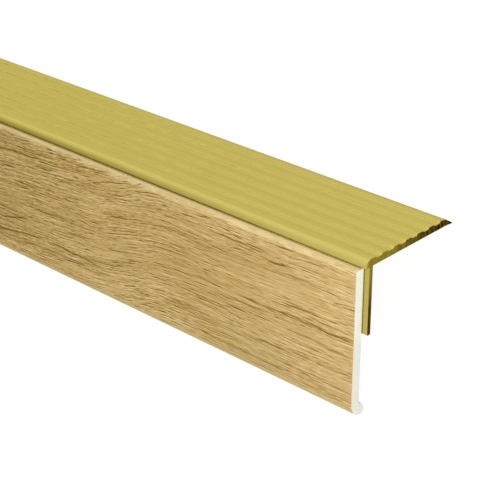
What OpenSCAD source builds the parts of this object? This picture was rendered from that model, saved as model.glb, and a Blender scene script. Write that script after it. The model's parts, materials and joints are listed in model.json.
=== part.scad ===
// Stair nosing: a ribbed aluminium angle over a stair edge, with a wood look panel down the riser.
// Millimetres. The section is drawn as it is fitted on a stair: x runs back over the tread from the
// inner face of the leg, y runs up from the underside of the tread flange. It is then extruded
// along X and leant back, so that it lies on a floor on the rear edge of the tread flange and the
// heel of the panel's foot, with its good faces up.

/* [Length] */
// Length of the aluminium profile
profile_length = 900; // [200:10:3000]
// Step back of the riser panel from each end of the aluminium
panel_setback = 2.1; // [0:0.1:20]

/* [Aluminium profile] */
// Depth of the tread flange, front of the lip to rear edge
tread_depth = 41; // [30:0.5:70]
// Height of the profile, rib tops to the end of the leg
profile_height = 25; // [15:0.5:45]
// Thickness of the tread flange at its ribs
flange_t = 2.45; // [2:0.05:4]
// Thickness of the leg
leg_t = 1.45; // [1:0.05:3]
// Reach of the lip in front of the leg
lip_reach = 1.4; // [0.6:0.1:3]
// Drop of the lip below the underside of the tread flange
lip_drop = 0.2; // [0:0.1:1]
// Radius of the nose, at the top of the lip
nose_r = 1.9; // [0.5:0.1:2]
// Radius inside the angle
inner_r = 0.4; // [0.2:0.1:2]
// Radius of the leg's free edge
leg_edge_r = 0.35; // [0.1:0.05:0.5]

/* [Ribs] */
// Width of the smooth land behind the nose, from the front of the lip
nose_land = 3.75; // [3:0.05:10]
// Distance from one groove to the next
groove_pitch = 5.54; // [4.5:0.02:12]
// Width of a groove, from rib top to rib top
groove_w = 3.2; // [2:0.05:3.5]
// Depth of a groove
groove_depth = 0.5; // [0.5:0.05:1]
// Run of the slope at the back of each rib
rib_slope = 0.85; // [0.2:0.05:1.5]
// Radius of a rib's top front edge
rib_r = 0.14; // [0.05:0.01:0.15]
// Radius at the foot of a rib's front face
groove_r = 0.34; // [0.1:0.02:0.34]

/* [Rear ramp] */
// Length of the ramp down to the rear edge
ramp_length = 3.8; // [2:0.1:12]
// Radius where the ramp leaves the tread
ramp_r = 4; // [1:0.5:5]
// Thickness left at the rear edge
ramp_edge = 0.3; // [0.2:0.05:1]
// Dip of the rear edge below the underside
edge_dip = 0.3; // [0:0.05:0.6]
// Length of the dip
dip_length = 2.6; // [1:0.1:5]

/* [Riser panel] */
// Height of the panel, top face to underside of the foot
panel_h = 50; // [35:0.5:90]
// Thickness of the panel with its film
panel_t = 3.5; // [3:0.1:6]
// Gap between the lip and the panel's top face
panel_gap = 0.6; // [0:0.1:3]
// Radius of the core along its top front edge
core_top_r = 0.5; // [0.2:0.1:1.2]
// Reach of the foot behind the panel
foot_reach = 2.4; // [2:0.1:6]
// Height of the foot behind the panel
foot_h = 3.8; // [3.5:0.1:8]
// Radius of the foot's shoulder
foot_shoulder_r = 2.8; // [0.5:0.1:2.8]
// Radius of the core under the front of the foot
foot_front_r = 4.5; // [2:0.1:4.5]
// Radius of the foot's heel
heel_r = 0.3; // [0.1:0.05:0.5]

/* [Film] */
// Thickness of the wood look film
film_t = 0.3; // [0.15:0.05:0.5]
// Run of the film under the foot, past the front radius
film_tuck = 0.2; // [0.1:0.1:0.4]

/* [Hidden] */
$fn = 96;
// Reach of a cut past the surface it opens
past = 1;
// Bite of a fillet into the walls it joins
bite = 0.1;

panel_length = profile_length - 2 * panel_setback;

// Section of the aluminium
lip_front = -leg_t - lip_reach;
rear_edge = lip_front + tread_depth;
leg_end = flange_t - profile_height;
ramp_top = [rear_edge - ramp_length, flange_t];
ramp_foot = [rear_edge, ramp_edge - edge_dip];
ramp_angle = atan2(ramp_top.y - ramp_foot.y, ramp_length);
// Just under the full tangent length, so that the arc crosses the ramp and doesn't graze it
shoulder_run = 0.95 * ramp_r * tan(ramp_angle / 2);
groove_start = lip_front + nose_land;
last_rib_min = 1.2;
groove_run = ramp_top.x - shoulder_run - last_rib_min - groove_w - groove_start;
groove_count = groove_run < 0 ? 0 : floor(groove_run / groove_pitch) + 1;

// Section of the panel, whose back lies on the front of the leg
panel_back = -leg_t;
core_front = panel_back - panel_t + film_t;
panel_top = -lip_drop - panel_gap;
core_top = panel_top - film_t;
core_bottom = panel_top - panel_h + film_t;
heel = panel_back + foot_reach;
foot_top = core_bottom + foot_h;
front_arc = [core_front + foot_front_r, core_bottom + foot_front_r];
film_end = front_arc.x + film_tuck;

// Lean that sets the rear edge and the heel's radius on the floor
edge_low = [rear_edge, -edge_dip];
heel_arc = [heel - heel_r, core_bottom + heel_r];
span = edge_low - heel_arc;
lean = atan2(span.y, span.x) + asin(heel_r / norm(span));
lift = edge_low.x * sin(lean) - edge_low.y * cos(lean);

// How far a point of the section lies along Y once it has been leant
function leant(p) = p.x * cos(lean) + p.y * sin(lean);
furthest = max(leant(ramp_foot), leant(ramp_top - [shoulder_run, 0]));
nearest = leant(front_arc) - foot_front_r - film_t;
middle = (furthest + nearest) / 2;

// Extrudes a section along X, centred on the length, and leans it onto the floor
module lay(length) {
    translate([0, -middle, lift])
        rotate([-lean, 0, 0])
            rotate([90, 0, 90])
                linear_extrude(height = length, center = true)
                    children();
}

// What a radius r takes off an outer corner at the origin, whose material lies to the left and below
module corner_waste(r) {
    difference() {
        translate([-r, -r]) square(r + past);
        translate([-r, -r]) circle(r);
    }
}

// What a radius r adds to an inner corner at the origin, whose walls lie to the left and below
module corner_fill(r) {
    difference() {
        translate([-bite, -bite]) square(r + bite);
        translate([r, r]) circle(r);
    }
}

// One groove, cut down from the top of the flange: the slope behind one rib, a flat floor, and the
// upright front face of the next rib
module groove() {
    difference() {
        polygon([
            [0, past],
            [0, 0],
            [rib_slope, -groove_depth],
            [groove_w, -groove_depth],
            [groove_w, past]
        ]);
        translate([groove_w, -groove_depth]) mirror([1, 0]) corner_fill(groove_r);
    }
    translate([groove_w, 0]) mirror([1, 0]) corner_waste(rib_r);
}

// What the radius takes off the corner where the ramp leaves the tread
module ramp_waste() {
    difference() {
        translate([-shoulder_run, -ramp_r]) square([ramp_r * sin(ramp_angle), ramp_r + past]);
        translate([-shoulder_run, -ramp_r]) circle(ramp_r);
    }
}

module flange_section() {
    difference() {
        polygon([
            [lip_front, -lip_drop],
            [-leg_t / 2, -lip_drop],
            [-leg_t / 2, 0],
            [rear_edge - dip_length, 0],
            edge_low,
            ramp_foot,
            ramp_top,
            [lip_front, flange_t]
        ]);
        translate([lip_front, flange_t]) mirror([1, 0]) corner_waste(nose_r);
        translate(ramp_top) ramp_waste();
        for (i = [0 : 1 : groove_count - 1])
            translate([groove_start + i * groove_pitch, flange_t]) groove();
    }
}

module leg_section() {
    difference() {
        translate([-leg_t, leg_end]) square([leg_t, bite - leg_end]);
        translate([0, leg_end]) mirror([0, 1]) corner_waste(leg_edge_r);
        translate([-leg_t, leg_end]) rotate(180) corner_waste(leg_edge_r);
    }
    mirror([0, 1]) corner_fill(inner_r);
}

// The foot behind the panel, with a round shoulder and heel
module foot_section(front, bottom) {
    difference() {
        translate([front, bottom]) square([heel - front, foot_top - bottom]);
        translate([heel, foot_top]) corner_waste(foot_shoulder_r);
        translate([heel, bottom]) mirror([0, 1]) corner_waste(heel_r);
    }
}

// The panel's outline, with its top, front and underside moved out by grow
module panel_outline(grow) {
    front = core_front - grow;
    top = core_top + grow;
    bottom = core_bottom - grow;
    difference() {
        union() {
            translate([front, bottom]) square([panel_back - front, top - bottom]);
            foot_section(front, bottom);
        }
        translate([front, top]) mirror([1, 0]) corner_waste(core_top_r + grow);
        translate([front, bottom]) rotate(180) corner_waste(foot_front_r + grow);
    }
}

// The film lies on the core's top, front and front radius, and ends under the foot
module film_section() {
    difference() {
        panel_outline(film_t);
        panel_outline(0);
        translate([film_end, core_bottom - past]) square([panel_t + foot_reach, past + foot_h / 2]);
    }
}

module nosing_profile() {
    color("#c2b35a")
        lay(profile_length) {
            flange_section();
            leg_section();
        }
}

module panel_core() {
    color("#eeebdf")
        lay(panel_length) panel_outline(0);
}

module wood_film() {
    color("#cba96f")
        lay(panel_length) film_section();
}

nosing_profile();
panel_core();
wood_film();
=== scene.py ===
"""Stair nosing: a ribbed gold anodised angle with an oak-look riser panel under its lip.

Sections are drawn in millimetres as the nosing is fitted on a stair: y runs back over the tread
from the inner face of the leg, z runs up from the underside of the tread flange, and s runs
along the length, from 0 at the near end to minus values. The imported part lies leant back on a
floor, so every section is turned onto it by the two seats of the record.
"""
import json
import math

import bmesh
import bpy
from mathutils import Matrix, Vector


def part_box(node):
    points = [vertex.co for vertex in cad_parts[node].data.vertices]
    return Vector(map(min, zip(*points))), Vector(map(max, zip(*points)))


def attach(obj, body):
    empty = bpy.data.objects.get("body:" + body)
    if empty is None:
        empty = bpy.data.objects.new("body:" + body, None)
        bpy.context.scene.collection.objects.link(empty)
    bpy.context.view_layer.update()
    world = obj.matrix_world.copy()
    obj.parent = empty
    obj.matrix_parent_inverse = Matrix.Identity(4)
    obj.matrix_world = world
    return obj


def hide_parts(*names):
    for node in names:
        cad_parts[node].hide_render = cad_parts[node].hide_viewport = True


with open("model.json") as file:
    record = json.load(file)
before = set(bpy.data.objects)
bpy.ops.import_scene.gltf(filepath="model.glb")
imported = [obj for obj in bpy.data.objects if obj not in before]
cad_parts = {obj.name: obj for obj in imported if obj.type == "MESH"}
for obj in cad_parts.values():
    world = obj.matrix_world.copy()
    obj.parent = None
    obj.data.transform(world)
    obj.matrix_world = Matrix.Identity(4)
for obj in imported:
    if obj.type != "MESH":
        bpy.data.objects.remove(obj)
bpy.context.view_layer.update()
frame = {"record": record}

MM = 0.001

# ---------------------------------------------------------------- where the fitted section lies
SEATS = {seat["name"]: seat for seat in frame["record"]["mounts"]}
DOWN = Vector(SEATS["tread_seat"]["axis"]).normalized()
BACK = Vector(SEATS["riser_seat"]["axis"]).normalized()
UP = -DOWN
ALONG = Vector((1, 0, 0))
CORNER = (
    DOWN * DOWN.dot(Vector(SEATS["tread_seat"]["pos_m"]))
    + BACK * BACK.dot(Vector(SEATS["riser_seat"]["pos_m"]))
)
HALF_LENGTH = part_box("nosing_profile")[1].x / MM
PANEL_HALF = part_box("panel_core")[1].x / MM


def placed(s, y, z):
    """A point of the fitted nosing, s mm from the near end, in the frame's metres."""
    return CORNER + (ALONG * (s + HALF_LENGTH) + BACK * y + UP * z) * MM


def turned(x, y, z):
    """A direction of the fitted nosing, in the frame."""
    return ALONG * x + BACK * y + UP * z


# ---------------------------------------------------------------- sizes of the sections, in mm
TREAD_DEPTH = 41
PROFILE_HEIGHT = 25
FLANGE_T = 2.45
LEG_T = 1.45
LIP_REACH = 1.4
LIP_DROP = 0.2
LIP_EDGE_R = 0.08
NOSE_R = 1.9
INNER_R = 0.4
LEG_EDGE_R = 0.35

NOSE_LAND = 3.75
GROOVE_PITCH = 5.54
GROOVE_W = 3.2
GROOVE_DEPTH = 0.5
RIB_SLOPE = 0.85
SLOPE_R = 0.1
RIB_R = 0.14
GROOVE_R = 0.34
GROOVES = 6

RAMP_LENGTH = 3.8
RAMP_R = 4
RAMP_EDGE = 0.3
EDGE_DIP = 0.3
DIP_LENGTH = 2.6

PANEL_H = 50
PANEL_T = 3.5
PANEL_GAP = 0.6
CORE_TOP_R = 0.5
FOOT_REACH = 2.4
FOOT_H = 3.8
FOOT_FRONT_R = 4.5
# The round shoulder ends just short of the panel's back
SHOULDER_R = FOOT_REACH - 0.01
HEEL_R = 0.3
FILM_T = 0.3
FILM_TUCK = 0.2

LIP_FRONT = -LEG_T - LIP_REACH
REAR_EDGE = LIP_FRONT + TREAD_DEPTH
LEG_END = FLANGE_T - PROFILE_HEIGHT
GROOVE_FLOOR = FLANGE_T - GROOVE_DEPTH
PANEL_BACK = -LEG_T
CORE_FRONT = PANEL_BACK - PANEL_T + FILM_T
FILM_FRONT = CORE_FRONT - FILM_T
PANEL_TOP = -LIP_DROP - PANEL_GAP
PANEL_BOTTOM = PANEL_TOP - PANEL_H
CORE_TOP = PANEL_TOP - FILM_T
CORE_BOTTOM = PANEL_BOTTOM + FILM_T
HEEL = PANEL_BACK + FOOT_REACH
FOOT_TOP = CORE_BOTTOM + FOOT_H
FILM_END = CORE_FRONT + FOOT_FRONT_R + FILM_TUCK

# Edges that turn by more than this stay sharp
SHARP = math.radians(24)


# ---------------------------------------------------------------- making the pieces
def shaped(name, bm, *materials):
    """An object at the origin, of the bmesh's faces."""
    mesh = bpy.data.meshes.new(name)
    bm.to_mesh(mesh)
    bm.free()
    for material in materials:
        mesh.materials.append(material)
    made = bpy.data.objects.new(name, mesh)
    bpy.context.scene.collection.objects.link(made)
    return made


def extruded(name, outline, half_length, node, side, end):
    """An extruded piece: the outline's corners are (y, z, reach of the rounding, segments)."""
    bm = bmesh.new()
    near = half_length - HALF_LENGTH
    far = -half_length - HALF_LENGTH
    bm.faces.new([bm.verts.new(placed(near, y, z)) for y, z, *_ in outline])
    for y, z, reach, segments in outline:
        if not segments:
            continue
        spot = placed(near, y, z)
        vert = min(bm.verts, key=lambda v: (v.co - spot).length)
        bmesh.ops.bevel(
            bm,
            geom=[vert],
            offset=reach * MM,
            offset_type="OFFSET",
            segments=segments,
            profile=0.5,
            affect="VERTICES",
            material=-1,
        )
    sheet = bmesh.ops.extrude_face_region(bm, geom=bm.faces[:])
    moved = [v for v in sheet["geom"] if isinstance(v, bmesh.types.BMVert)]
    bmesh.ops.translate(bm, verts=moved, vec=ALONG * (far - near) * MM)
    bmesh.ops.recalc_face_normals(bm, faces=bm.faces[:])
    for face in bm.faces:
        face.smooth = True
        face.material_index = 1 if abs(face.normal.x) > 0.5 else 0
    piece = shaped(name, bm, side, end)
    piece.data.set_sharp_from_angle(angle=SHARP)
    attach(piece, "root")
    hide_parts(node)


def profile_outline():
    """Section of the aluminium, round from the lip by the leg, the rear edge and the ribs."""
    ramp_angle = math.atan2(FLANGE_T - RAMP_EDGE + EDGE_DIP, RAMP_LENGTH)
    outline = [
        (LIP_FRONT, -LIP_DROP, LIP_EDGE_R, 2),
        (-LEG_T, -LIP_DROP, 0, 0),
        (-LEG_T, LEG_END, LEG_EDGE_R, 6),
        (0, LEG_END, LEG_EDGE_R, 6),
        (0, 0, INNER_R, 6),
        (REAR_EDGE - DIP_LENGTH, 0, 0, 0),
        (REAR_EDGE, -EDGE_DIP, 0, 0),
        (REAR_EDGE, RAMP_EDGE - EDGE_DIP, 0, 0),
        (REAR_EDGE - RAMP_LENGTH, FLANGE_T, RAMP_R * math.tan(ramp_angle / 2), 8),
    ]
    for i in reversed(range(GROOVES)):
        front = LIP_FRONT + NOSE_LAND + i * GROOVE_PITCH
        outline += [
            (front + GROOVE_W, FLANGE_T, RIB_R, 4),
            (front + GROOVE_W, GROOVE_FLOOR, GROOVE_R, 6),
            (front + RIB_SLOPE, GROOVE_FLOOR, SLOPE_R, 2),
            (front, FLANGE_T, SLOPE_R, 2),
        ]
    outline.append((LIP_FRONT, FLANGE_T, NOSE_R, 14))
    return outline


def core_outline():
    """Section of the panel's core, with the foot behind it."""
    return [
        (CORE_FRONT, CORE_BOTTOM, FOOT_FRONT_R, 18),
        (HEEL, CORE_BOTTOM, HEEL_R, 5),
        (HEEL, FOOT_TOP, SHOULDER_R, 12),
        (PANEL_BACK, FOOT_TOP, 0, 0),
        (PANEL_BACK, CORE_TOP, 0, 0),
        (CORE_FRONT, CORE_TOP, CORE_TOP_R, 7),
    ]


def film_outline():
    """Section of the film, over the core's top, front and front radius."""
    return [
        (FILM_FRONT, PANEL_BOTTOM, FOOT_FRONT_R + FILM_T, 18),
        (FILM_END, PANEL_BOTTOM, 0, 0),
        (FILM_END, CORE_BOTTOM, 0, 0),
        (CORE_FRONT, CORE_BOTTOM, FOOT_FRONT_R, 18),
        (CORE_FRONT, CORE_TOP, CORE_TOP_R, 7),
        (PANEL_BACK, CORE_TOP, 0, 0),
        (PANEL_BACK, PANEL_TOP, 0, 0),
        (FILM_FRONT, PANEL_TOP, CORE_TOP_R + FILM_T, 7),
    ]


# ---------------------------------------------------------------- building blocks of the finishes
def tone(red, green, blue):
    """A colour as it is read off a screen, 0 to 255, made linear for a shader socket."""
    def straight(v):
        v /= 255
        return v / 12.92 if v <= 0.04045 else ((v + 0.055) / 1.055) ** 2.4
    return (straight(red), straight(green), straight(blue), 1)


class Recipe:
    """Shader nodes of one finish or of the sky, added and wired one after another."""

    def __init__(self, owner):
        owner.use_nodes = True
        self.owner = owner
        self.tree = owner.node_tree
        self.tree.nodes.clear()

    def add(self, kind, sockets=None, **settings):
        """A node with its settings; a socket takes a value or another node's output."""
        node = self.tree.nodes.new(kind)
        for key, value in settings.items():
            setattr(node, key, value)
        for key, value in (sockets or {}).items():
            if isinstance(value, bpy.types.NodeSocket):
                self.tree.links.new(value, node.inputs[key])
            else:
                node.inputs[key].default_value = value
        return node

    def calc(self, operation, *values):
        sockets = dict(enumerate(values))
        return self.add("ShaderNodeMath", sockets, operation=operation).outputs[0]

    def plus(self, first, *others):
        for other in others:
            first = self.calc("ADD", first, other)
        return first

    def minus(self, first, second):
        return self.calc("SUBTRACT", first, second)

    def times(self, first, *others):
        for other in others:
            first = self.calc("MULTIPLY", first, other)
        return first

    def fitted(self):
        """Places on the fitted nosing in mm: s from the near end, y back and z up."""
        lean = math.atan2(BACK.z, BACK.y)
        shift = Matrix.Rotation(-lean, 3, "X") @ CORNER / MM
        mapped = self.add(
            "ShaderNodeMapping",
            {
                "Vector": self.add("ShaderNodeTexCoord").outputs["Object"],
                "Location": (-HALF_LENGTH, -shift.y, -shift.z),
                "Rotation": (-lean, 0, 0),
                "Scale": (1 / MM, 1 / MM, 1 / MM),
            },
        ).outputs[0]
        split = self.add("ShaderNodeSeparateXYZ", {0: mapped}).outputs
        return split[0], split[1], split[2]

    def place(self, *parts):
        """A place of up to three parts, each a value or a pair of a value and its factor."""
        scaled = [self.times(*part) if isinstance(part, tuple) else part for part in parts]
        return self.add("ShaderNodeCombineXYZ", dict(enumerate(scaled))).outputs[0]

    def noise(self, where, detail=2.0, roughness=0.5):
        sockets = {"Vector": where, "Scale": 1.0, "Detail": detail, "Roughness": roughness}
        return self.add("ShaderNodeTexNoise", sockets).outputs[0]

    def span(self, value, low, high, to_low=0.0, to_high=1.0, smooth=False):
        """The value carried from one range to another, and held at its ends."""
        return self.add(
            "ShaderNodeMapRange",
            {0: value, 1: low, 2: high, 3: to_low, 4: to_high},
            interpolation_type="SMOOTHSTEP" if smooth else "LINEAR",
            clamp=True,
        ).outputs[0]

    def mixed(self, share, first, second, blend="MIX"):
        return self.add(
            "ShaderNodeMix",
            {0: share, 6: first, 7: second},
            data_type="RGBA",
            blend_type=blend,
            clamp_factor=True,
        ).outputs[2]

    def tinted(self, share, colour, red, green, blue):
        """The colour with its parts multiplied, as far as the share goes."""
        return self.mixed(share, colour, (red, green, blue, 1), "MULTIPLY")

    def graded(self, value, stops):
        """Colours along a value, each stop a position and a colour."""
        node = self.add("ShaderNodeValToRGB", {0: value})
        ramp = node.color_ramp
        ramp.elements[0].position, ramp.elements[0].color = stops[0]
        ramp.elements[1].position, ramp.elements[1].color = stops[-1]
        for position, colour in stops[1:-1]:
            ramp.elements.new(position).color = colour
        return node.outputs[0]

    def bump(self, height, distance, strength=0.5, normal=None):
        sockets = {"Height": height, "Distance": distance, "Strength": strength}
        if normal is not None:
            sockets["Normal"] = normal
        return self.add("ShaderNodeBump", sockets).outputs[0]

    def chosen(self, first, second):
        """The second shader where it is seen, straight or in a mirror, and else the first."""
        path = self.add("ShaderNodeLightPath").outputs
        seen = self.calc("MAXIMUM", path["Is Glossy Ray"], path["Is Transmission Ray"])
        seen = self.calc("MAXIMUM", path["Is Camera Ray"], seen)
        return self.add("ShaderNodeMixShader", {0: seen, 1: first, 2: second}).outputs[0]

    def surface(self, **sockets):
        """The finish itself, with the sockets of its surface."""
        names = {key.replace("_", " "): value for key, value in sockets.items()}
        shader = self.add("ShaderNodeBsdfPrincipled", names)
        self.add("ShaderNodeOutputMaterial", {0: shader.outputs[0]})
        return self.owner


def new_finish(name):
    """The recipe of a new finish, with its places on the fitted nosing."""
    r = Recipe(bpy.data.materials.new(name))
    return (r, *r.fitted())


# ---------------------------------------------------------------- finishes
# Places along the length, s: well away from the near end, and where the grain starts to swing
FAR = -150.0
SWING_START = -170.0


def gold_anodised():
    """Satin gold anodised aluminium, with the fine lines of the die along it."""
    r, s, y, z = new_finish("gold_anodised")
    around = r.plus(y, z)
    across = r.minus(y, z)
    lines = r.noise(r.place((s, 0.006), (around, 2.4), (across, 2.4)), 3.0, 0.6)
    cloud = r.noise(r.place((s, 0.02), (around, 0.08), (across, 0.08)))
    grit = r.noise(r.place((s, 3.0), (around, 6.0), (across, 6.0)), 2.0, 0.6)
    colour = r.mixed(r.span(lines, 0.3, 0.7), tone(185, 170, 76), tone(189, 174, 81))
    colour = r.mixed(r.span(cloud, 0.3, 0.7, 0.0, 0.35), colour, tone(184, 170, 75))
    # Painted light: a little paler by the near end and on the land behind the nose
    land = r.times(r.span(y, -1.6, 0.2, 0.0, 0.7, smooth=True), r.span(y, 2.4, 1.4, smooth=True))
    painted_light_near_end_and_land = r.calc("MAXIMUM", r.span(s, -70.0, -5.0, 0.0, 0.7), land)
    colour = r.mixed(r.times(painted_light_near_end_and_land, 0.8), colour, tone(192, 177, 83))
    # Painted highlight along the foot of each rib's front face, lightest on the face itself, with
    # painted glints on the faces
    groove = r.calc("FLOORED_MODULO", r.minus(y, LIP_FRONT + NOSE_LAND), GROOVE_PITCH)
    ribbed = r.times(r.span(z, 1.7, 1.8), r.span(y, 0.8, 0.9))
    rib_foot_highlight = r.times(
        r.span(groove, 1.3, 2.9, 0.2, 0.8, smooth=True),
        r.span(groove, 0.6, 0.9),
        r.span(groove, 3.1, 3.4, 1.0, 0.0),
        r.span(s, FAR, 0.0, 0.35, 1.0),
    )
    colour = r.mixed(r.times(rib_foot_highlight, ribbed), colour, tone(204, 189, 100))
    face = r.times(r.span(groove, 3.0, 3.16), r.span(groove, 3.22, 3.32, 1.0, 0.0))
    glints = r.noise(r.place((s, 0.2), (y, 0.35), 5.0), 1.0)
    painted_glint_tone = r.mixed(r.span(glints, 0.35, 0.65), tone(214, 200, 114), tone(227, 214, 131))
    rib_face_highlight_tone = r.mixed(r.span(s, 0.0, -110.0), tone(211, 196, 110), painted_glint_tone)
    colour = r.mixed(r.times(face, ribbed), colour, rib_face_highlight_tone)
    colour = r.tinted(r.span(s, -60.0, FAR), colour, 1.0, 1.0, 0.93)
    # Painted highlight along the nose
    painted_nose_highlight = r.times(
        r.span(y, -1.2, -1.9, smooth=True),
        r.span(y, -2.45, -2.8, 1.0, 0.0),
        r.span(z, 0.4, 0.6),
    )
    nose_highlight_tone = r.mixed(r.span(s, 0.0, FAR), tone(199, 183, 104), tone(206, 190, 101))
    colour = r.mixed(painted_nose_highlight, colour, nose_highlight_tone)
    # Duller down the front of the lip as painted shade, and browner at its lower edge as a painted
    # shadow line
    front = r.span(y, -2.2, -2.5)
    lip_front_shade_tone = r.mixed(r.span(s, -10.0, FAR), tone(184, 170, 98), tone(157, 141, 57))
    colour = r.mixed(r.times(front, r.span(z, 1.7, 0.1)), colour, lip_front_shade_tone)
    lip_edge_painted_shadow = r.times(front, r.span(z, 0.1, -0.1), r.span(s, 0.0, -100.0, 0.1, 0.6))
    colour = r.mixed(lip_edge_painted_shadow, colour, tone(112, 84, 0))
    # Painted shade on the rear ramp
    colour = r.mixed(r.span(y, 32.8, 34.5), colour, tone(177, 164, 73))
    # Painted shade on the leg in front, duller where it stands free of the panel
    into = r.calc("MINIMUM", r.times(s, -1.0), r.plus(s, 2 * HALF_LENGTH))
    leg = r.times(r.span(z, -0.6, -1.2), r.span(y, -1.0, -1.2))
    leg_shade_tone = r.mixed(r.span(into, 1.3, 0.6), tone(173, 161, 75), tone(180, 160, 84))
    colour = r.mixed(leg, colour, leg_shade_tone)
    # Painted contact shadow where the panel's edge meets the leg
    colour = r.mixed(r.times(leg, r.span(into, 1.55, 1.8)), colour, tone(104, 92, 14))
    return r.surface(
        Base_Color=colour,
        Metallic=0.35,
        Roughness=r.plus(r.span(lines, 0.25, 0.75, 0.6, 0.68), r.span(grit, 0.2, 0.8, -0.03, 0.03)),
        Specular_IOR_Level=0.15,
        Normal=r.bump(grit, 0.02 * MM, normal=r.bump(lines, 0.04 * MM, 0.6)),
    )


def sawn_gold():
    """The sawn end of the profile: olive near the angle and dark towards the edges as a painted
    reflection, with cut marks.
    """
    r, s, y, z = new_finish("sawn_end")
    saw = r.noise(r.place((y, 1.45), (z, 0.25), s), 1.0)
    fine = r.noise(r.place((y, 2.3), (z, 0.4), 6.0), 1.0)
    out_back = r.span(y, 8.0, 26.0)
    out_down = r.span(z, -2.0, -14.0)
    # Painted reflection: olive near the angle, dark away from it
    colour = r.mixed(r.calc("MAXIMUM", out_back, out_down), tone(144, 131, 45), tone(76, 56, 0))
    marks = r.times(r.span(saw, 0.46, 0.54), r.span(out_back, 0.0, 1.0, 0.15, 0.95))
    colour = r.mixed(marks, colour, tone(34, 18, 0))
    streaks = r.times(r.span(fine, 0.5, 0.58, 0.0, 0.7), r.span(z, -4.0, -9.0, 1.0, 0.2))
    colour = r.mixed(streaks, colour, tone(128, 108, 20))
    # Painted reflection: lighter at the lip, almost black at the thin rear edge
    colour = r.mixed(r.span(y, -1.2, -2.6, 0.0, 0.6), colour, tone(170, 158, 74))
    colour = r.mixed(r.span(y, 36.2, 37.4), colour, tone(22, 34, 4))
    return r.surface(
        Base_Color=colour,
        Metallic=0.45,
        Roughness=0.6,
        Specular_IOR_Level=0.0,
        Specular_Tint=(0.7, 0.5, 0.1, 1),
        Normal=r.bump(saw, 0.05 * MM, 0.6),
    )


def white_core():
    """Extruded off-white core: matt, with faint draw lines and tiny pores."""
    r, s, y, z = new_finish("white_core")
    draw = r.noise(r.place((s, 0.02), (y, 2.0), (z, 2.0)), 3.0, 0.6)
    pores = r.noise(r.place((s, 3.0), (y, 3.0), (z, 3.0)), 3.0, 0.6)
    colour = r.mixed(r.span(draw, 0.3, 0.7), tone(222, 222, 209), tone(229, 229, 217))
    # Creamier beside the film
    cream = r.span(y, -3.6, -4.65, 0.0, 0.95, smooth=True)
    colour = r.mixed(cream, colour, tone(236, 223, 188))
    # Painted light beside the leg and under the lip, where they shade the end
    beside = r.times(r.span(y, -3.4, -1.8, 0.5, 0.9), r.span(z, -26.0, -21.0))
    painted_light_by_leg_and_lip = r.calc("MAXIMUM", beside, r.span(z, -6.0, -1.5, 0.0, 0.8))
    colour = r.mixed(painted_light_by_leg_and_lip, colour, tone(251, 252, 248))
    colour = r.mixed(r.span(pores, 0.6, 0.75, 0.0, 0.5), colour, tone(216, 214, 200))
    return r.surface(
        Base_Color=colour,
        Roughness=0.55,
        Specular_IOR_Level=0.35,
        Normal=r.bump(pores, 0.03 * MM, normal=r.bump(draw, 0.03 * MM)),
    )


# Longer dark lines of the oak print: from s to s, their height at either end, depth of tone
DARK_LINES = (
    (-70, -51, -25.2, -25.4, 0.25),
    (-49, -28, -25.4, -25.1, 0.45),
    (-32, -1, -25.0, -24.3, 0.5),
    (-48, -34, -27.4, -26.8, 0.4),
    (-30, -14, -20.9, -20.5, 0.5),
    (-30, -3, -29.4, -29.6, 0.4),
    (-79, -64, -38.2, -36.8, 0.4),
    (-43, -24, -37.6, -37.2, 0.45),
    (-168, -139, -41.2, -37.3, 0.5),
    (-139, -110, -37.3, -38.4, 0.4),
    (-166, -137, -8.8, -6.9, 0.45),
    (-147, -128, -27.2, -25.6, 0.4),
    (-167, -148, -36.6, -32.2, 0.4),
    (-144, -133, -10.2, -9.6, 0.4),
    (-157, -142, -19.4, -18.6, 0.4),
    (-56, -33, -7.4, -6.6, 0.35),
    (-39, -25, -8.9, -8.5, 0.3),
    (-107, -95, -17.2, -14.8, 0.35),
    (-130, -116, -30.4, -29.6, 0.3),
)
# Run over which a dark line fades in and out
LINE_FADE = 5
# The tone that stays as it is where the print's contrast changes
MIDDLE_SHADE = 0.55


def grain_across(r, s, depth):
    """How far across the print's grain a place lies, with the grain's climb and drift."""
    # The grain climbs towards the near end, most of all about 100 mm from it
    swing = r.calc("COSINE", r.times(r.minus(s, SWING_START), 2 * math.pi / 240))
    climb = r.plus(
        r.span(s, SWING_START, -75.0, -7.5, 0.0),
        r.span(s, -75.0, 0.0, 0.0, 1.5),
        r.span(s, -116.0, -80.0, 0.0, 4.0, smooth=True),
        r.times(swing, r.span(s, SWING_START, -260.0, 0.0, 7.0)),
    )
    drift = r.noise(r.place((s, 0.011), (depth, 0.03)))
    return r.minus(depth, r.plus(climb, r.span(drift, 0.0, 1.0, -2.5, 2.5)))


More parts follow.
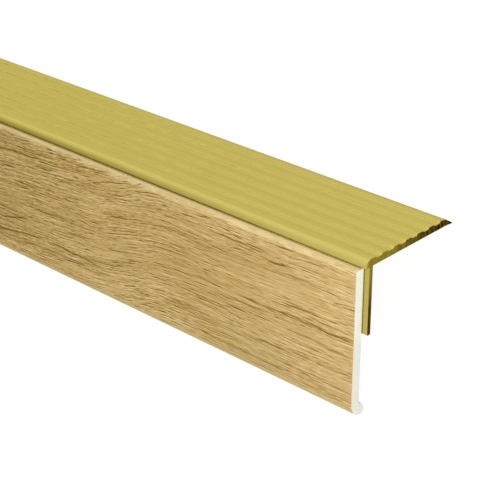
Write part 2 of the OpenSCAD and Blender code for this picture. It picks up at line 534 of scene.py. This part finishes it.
def oak_shade(r, s, z, across):
    """The print's light and dark, 0 to 1, with the fibres and pores it is made of."""
    # The strokes grow longer towards the near end
    run = r.plus(s, r.span(s, -75.0, 0.0, 0.0, -22.0))

    def grain(along, over, layer, detail=2.0, roughness=0.55, shift=0.0):
        where = r.place((run, along), (r.plus(across, shift), over), layer)
        return r.noise(where, detail, roughness)

    def swinging(layer, share):
        return r.times(r.minus(layer, 0.5), share)

    # Fine fibres, calmer in places
    fibres = grain(0.1, 1.9, 11.0, 3.0, 0.6)
    fine = r.plus(
        swinging(fibres, 0.95),
        swinging(grain(0.42, 2.2, 29.0), 1.0),
        swinging(grain(0.045, 1.7, 41.0), 0.8),
    )
    calm = r.noise(r.place((s, 0.035), (across, 0.09), 51.0))
    # Broad, middling and narrow bands
    shade = r.plus(
        r.times(fine, r.span(calm, 0.35, 0.65, 1.35, 0.6)),
        swinging(grain(0.012, 0.09, 3.0), 0.3),
        swinging(grain(0.022, 0.4, 7.0, 3.0), 0.48),
        swinging(grain(0.03, 0.95, 23.0), 0.56),
        0.56,
    )
    # Dark pores with a painted highlight fleck beside each, and short fine ticks of the same make
    crowd = grain(0.03, 0.14, 37.0)
    pores = grain(0.13, 1.8, 17.0)
    beside = grain(0.13, 1.8, 17.0, shift=0.4)
    dense = r.span(crowd, 0.38, 0.62, 0.15, 0.8)
    shade = r.minus(shade, r.times(r.span(pores, 0.56, 0.65), dense))
    shade = r.plus(shade, r.span(beside, 0.56, 0.65, 0.0, 0.26))
    ticks = grain(0.3, 2.6, 83.0)
    lit = grain(0.3, 2.6, 83.0, shift=0.28)
    ticked = r.times(r.span(ticks, 0.57, 0.67), r.span(crowd, 0.3, 0.6, 0.2, 0.6))
    painted_highlight_flecks = r.times(r.span(lit, 0.57, 0.67), r.span(crowd, 0.3, 0.6, 0.1, 0.3))
    shade = r.plus(r.minus(shade, ticked), painted_highlight_flecks)
    streaks = grain(0.024, 1.3, 61.0)
    shade = r.minus(shade, r.span(streaks, 0.64, 0.7, 0.0, 0.3))
    wobble = r.span(r.noise(r.place((s, 0.07), 0.0, 71.0)), 0.2, 0.8, -0.7, 0.7)
    level = r.minus(z, wobble)
    for start, end, first, last, deep in DARK_LINES:
        off = r.calc("ABSOLUTE", r.minus(level, r.span(s, start, end, first, last)))
        line = r.times(
            r.span(off, 0.2, 0.55, deep, 0.0),
            r.span(s, start, start + LINE_FADE),
            r.span(s, end, end - LINE_FADE),
        )
        shade = r.minus(shade, line)
    # Softer contrast by the near end, a little stronger at the far one
    gain = r.plus(r.span(s, -115.0, -35.0, 1.0, 0.75), r.span(s, -105.0, FAR, 0.0, 0.09))
    shade = r.calc("MULTIPLY_ADD", r.minus(shade, MIDDLE_SHADE), gain, MIDDLE_SHADE)
    return shade, fibres, pores


def oak_film():
    """Printed oak film: warped grain, dark pores with painted highlight flecks beside them, satin.
    """
    r, s, y, z = new_finish("oak_film")
    # Depth down the face, carried on over the top and under the foot
    depth = r.minus(z, r.times(y, 0.6))
    across = grain_across(r, s, depth)
    shade, fibres, pores = oak_shade(r, s, z, across)
    colour = r.graded(shade, (
        (0.0, tone(114, 84, 12)),
        (0.5, tone(186, 156, 98)),
        (0.75, tone(208, 179, 123)),
        (1.0, tone(229, 201, 148)),
    ))
    # Browner and darker from the near end to about 200 mm, then paler again: painted shade
    browner_painted_shade = r.times(r.span(s, 0.0, FAR), r.span(s, -200.0, -380.0, 1.0, 0.3, smooth=True))
    brown = r.mixed(r.span(shade, 0.25, 0.85), (0.93, 0.91, 0.5, 1), (0.93, 0.91, 0.85, 1))
    colour = r.mixed(browner_painted_shade, colour, brown, "MULTIPLY")
    # Painted light by the near end
    colour = r.tinted(r.span(s, -70.0, -10.0), colour, 1.07, 1.09, 1.14)
    # Paler low on the face about 100 mm from the near end, duller by its lower corner
    low = r.span(z, -28.0, -36.0)
    pale = r.times(low, r.span(s, -142.0, -120.0), r.span(s, -62.0, -80.0))
    colour = r.tinted(pale, colour, 1.06, 1.08, 1.15)
    colour = r.tinted(r.times(low, r.span(s, -64.0, -46.0)), colour, 0.93, 0.94, 0.94)
    # Warmer and greener patches
    patch = r.noise(r.place((s, 0.09), (across, 0.3), 91.0), 3.0, 0.6)
    colour = r.tinted(r.span(patch, 0.5, 0.72, smooth=True), colour, 1.01, 0.94, 0.84)
    colour = r.tinted(r.span(patch, 0.46, 0.3, smooth=True), colour, 0.945, 0.985, 0.95)
    # Painted highlight round the rounded top edge
    mottle = r.noise(r.place((s, 0.16), (depth, 0.7), 13.0))
    top_edge = r.plus(z, r.times(shade, 1.3), r.span(s, -50.0, -20.0, 0.0, 0.12))
    painted_highlight_rim = r.span(top_edge, -1.9, -0.4, smooth=True)
    painted_highlight_rim = r.times(painted_highlight_rim, r.span(mottle, 0.4, 0.6, 0.5, 0.8))
    rim_highlight_tone = r.mixed(r.span(s, 0.0, FAR), tone(238, 211, 154), tone(220, 194, 137))
    colour = r.mixed(painted_highlight_rim, colour, rim_highlight_tone)
    # Greener under the curve of the foot
    colour = r.mixed(r.span(z, -46.4, -48.4, 0.0, 0.35), colour, tone(198, 180, 118))
    colour = r.mixed(r.span(z, -47.8, -49.0, 0.0, 0.75), colour, tone(190, 180, 108))
    # Paler still over the top as painted light where the lip shades it, with a painted shadow deep
    # under the lip
    over = r.times(r.span(y, -4.7, -4.1), r.span(z, -1.1, -0.9))
    painted_light_over_top = r.mixed(r.span(mottle, 0.58, 0.4), tone(236, 209, 148), tone(214, 187, 128))
    painted_light_over_top = r.mixed(r.span(y, -4.4, -3.5), painted_light_over_top, tone(255, 236, 176))
    painted_light_over_top = r.mixed(r.span(y, -3.0, -2.5), painted_light_over_top, tone(255, 232, 132))
    colour = r.mixed(r.times(over, 0.95), colour, painted_light_over_top)
    deep = r.plus(y, r.span(s, -60.0, FAR, 0.0, -0.15))
    painted_shadow_under_lip = r.times(r.span(deep, -2.45, -2.15), r.span(s, 0.0, -60.0, 0.6, 1.0))
    colour = r.mixed(r.times(over, painted_shadow_under_lip), colour, tone(158, 126, 0))
    return r.surface(
        Base_Color=colour,
        Roughness=r.span(fibres, 0.3, 0.7, 0.42, 0.52),
        Specular_IOR_Level=0.15,
        Normal=r.bump(r.minus(1.0, r.span(pores, 0.52, 0.66)), 0.08 * MM),
    )


def film_edge():
    """The cut edge of the film at the panel's ends."""
    r, s, y, z = new_finish("film_edge")
    grain = r.noise(r.place((y, 4.0), (z, 1.2), s), 2.0, 0.6)
    colour = r.mixed(r.span(grain, 0.3, 0.7), tone(228, 213, 172), tone(234, 221, 184))
    # White by the foot
    colour = r.mixed(r.span(z, -48.6, -49.8), colour, tone(236, 234, 222))
    return r.surface(Base_Color=colour, Roughness=0.55, Normal=r.bump(grain, 0.02 * MM))


GOLD = gold_anodised()
SAWN = sawn_gold()
CORE = white_core()
OAK = oak_film()
EDGE = film_edge()

extruded(
    "nosing_angle", profile_outline(), HALF_LENGTH, "nosing_profile", GOLD, SAWN
)
extruded("riser_panel_core", core_outline(), PANEL_HALF, "panel_core", CORE, CORE)
extruded("riser_panel_film", film_outline(), PANEL_HALF, "wood_film", OAK, EDGE)


# ---------------------------------------------------------------- floor and sky
WHITE = (1, 1, 1, 1)
FLOOR_HALF = 12.0
FLOOR_GREY = 0.8
# The floor as it is seen: how much of it takes light and shadow, and its own glow
SHADOW_GREY = 0.065
FLOOR_GLOW = 0.957
# The sky's strength as a light, and as it is seen
SKY_LIGHT = 0.62
SKY_SEEN = 1.0


def white_floor():
    """White floor that keeps a pale shadow of the nosing."""
    r = Recipe(bpy.data.materials.new("studio_floor"))
    plain, shade = (
        r.add("ShaderNodeBsdfDiffuse", {"Color": (grey, grey, grey, 1)}).outputs[0]
        for grey in (FLOOR_GREY, SHADOW_GREY)
    )
    glow = r.add("ShaderNodeEmission", {"Color": WHITE, "Strength": FLOOR_GLOW}).outputs[0]
    shown = r.add("ShaderNodeAddShader", {0: shade, 1: glow}).outputs[0]
    r.add("ShaderNodeOutputMaterial", {0: r.chosen(plain, shown)})
    return r.owner


def white_sky():
    """White sky that lights the nosing evenly."""
    r = Recipe(bpy.data.worlds.new("studio"))
    lighting, seen = (
        r.add("ShaderNodeBackground", {"Color": WHITE, "Strength": strength}).outputs[0]
        for strength in (SKY_LIGHT, SKY_SEEN)
    )
    r.add("ShaderNodeOutputWorld", {0: r.chosen(lighting, seen)})
    return r.owner


bm = bmesh.new()
bmesh.ops.create_grid(bm, x_segments=1, y_segments=1, size=FLOOR_HALF)
floor = shaped("studio_floor", bm, white_floor())
bpy.context.scene.world = white_sky()


# ---------------------------------------------------------------- light
def softbox(name, aim, towards, distance, size, power, spread=180):
    """A soft light facing the fitted point aim, on the side that towards points to."""
    lamp = bpy.data.lights.new(name, "AREA")
    lamp.shape = "RECTANGLE"
    lamp.size, lamp.size_y = size
    lamp.energy = power
    lamp.spread = math.radians(spread)
    light = bpy.data.objects.new(name, lamp)
    side = turned(*towards).normalized()
    light.location = placed(*aim) + side * distance
    light.rotation_euler = side.to_track_quat("Z", "Y").to_euler()
    light.visible_camera = False
    bpy.context.scene.collection.objects.link(light)


softbox(
    "tread_light", aim=(-200, 15, 0), towards=(-0.43, 0.48, 0.77),
    distance=2.0, size=(1.4, 1.4), power=21,
)
softbox(
    "front_light", aim=(-20, -5, -15), towards=(0.52, -0.86, 0.16),
    distance=0.3, size=(0.14, 0.14), power=0.6,
)
softbox(
    "panel_light", aim=(-670, -5, -20), towards=(0, -1, 0.1),
    distance=0.26, size=(0.64, 0.12), power=0.11, spread=70,
)

# ---------------------------------------------------------------- camera
# Azimuth and pitch of the view on the fitted nosing; the eye's place from the near end's angle,
# the focal length and the width of the sensor, in mm
AZIMUTH = math.radians(42.612)
PITCH = math.radians(27.0264)
EYE = (229.66, -301.25, 197.38)
LENS = 107.909
SENSOR = 36

right = turned(math.cos(AZIMUTH), math.sin(AZIMUTH), 0)
ahead = turned(
    -math.sin(AZIMUTH) * math.cos(PITCH),
    math.cos(AZIMUTH) * math.cos(PITCH),
    -math.sin(PITCH),
)
above = right.cross(ahead)
camera_data = bpy.data.cameras.new("camera")
camera_data.sensor_width = SENSOR
camera_data.lens = LENS
camera_data.clip_start = 0.01
camera_data.clip_end = 50
camera = bpy.data.objects.new("camera", camera_data)
spot = placed(*EYE)
camera.matrix_world = Matrix((
    (right.x, above.x, -ahead.x, spot.x),
    (right.y, above.y, -ahead.y, spot.y),
    (right.z, above.z, -ahead.z, spot.z),
    (0, 0, 0, 1),
))
bpy.context.scene.collection.objects.link(camera)
bpy.context.scene.camera = camera
bpy.context.scene.view_settings.view_transform = "Standard"
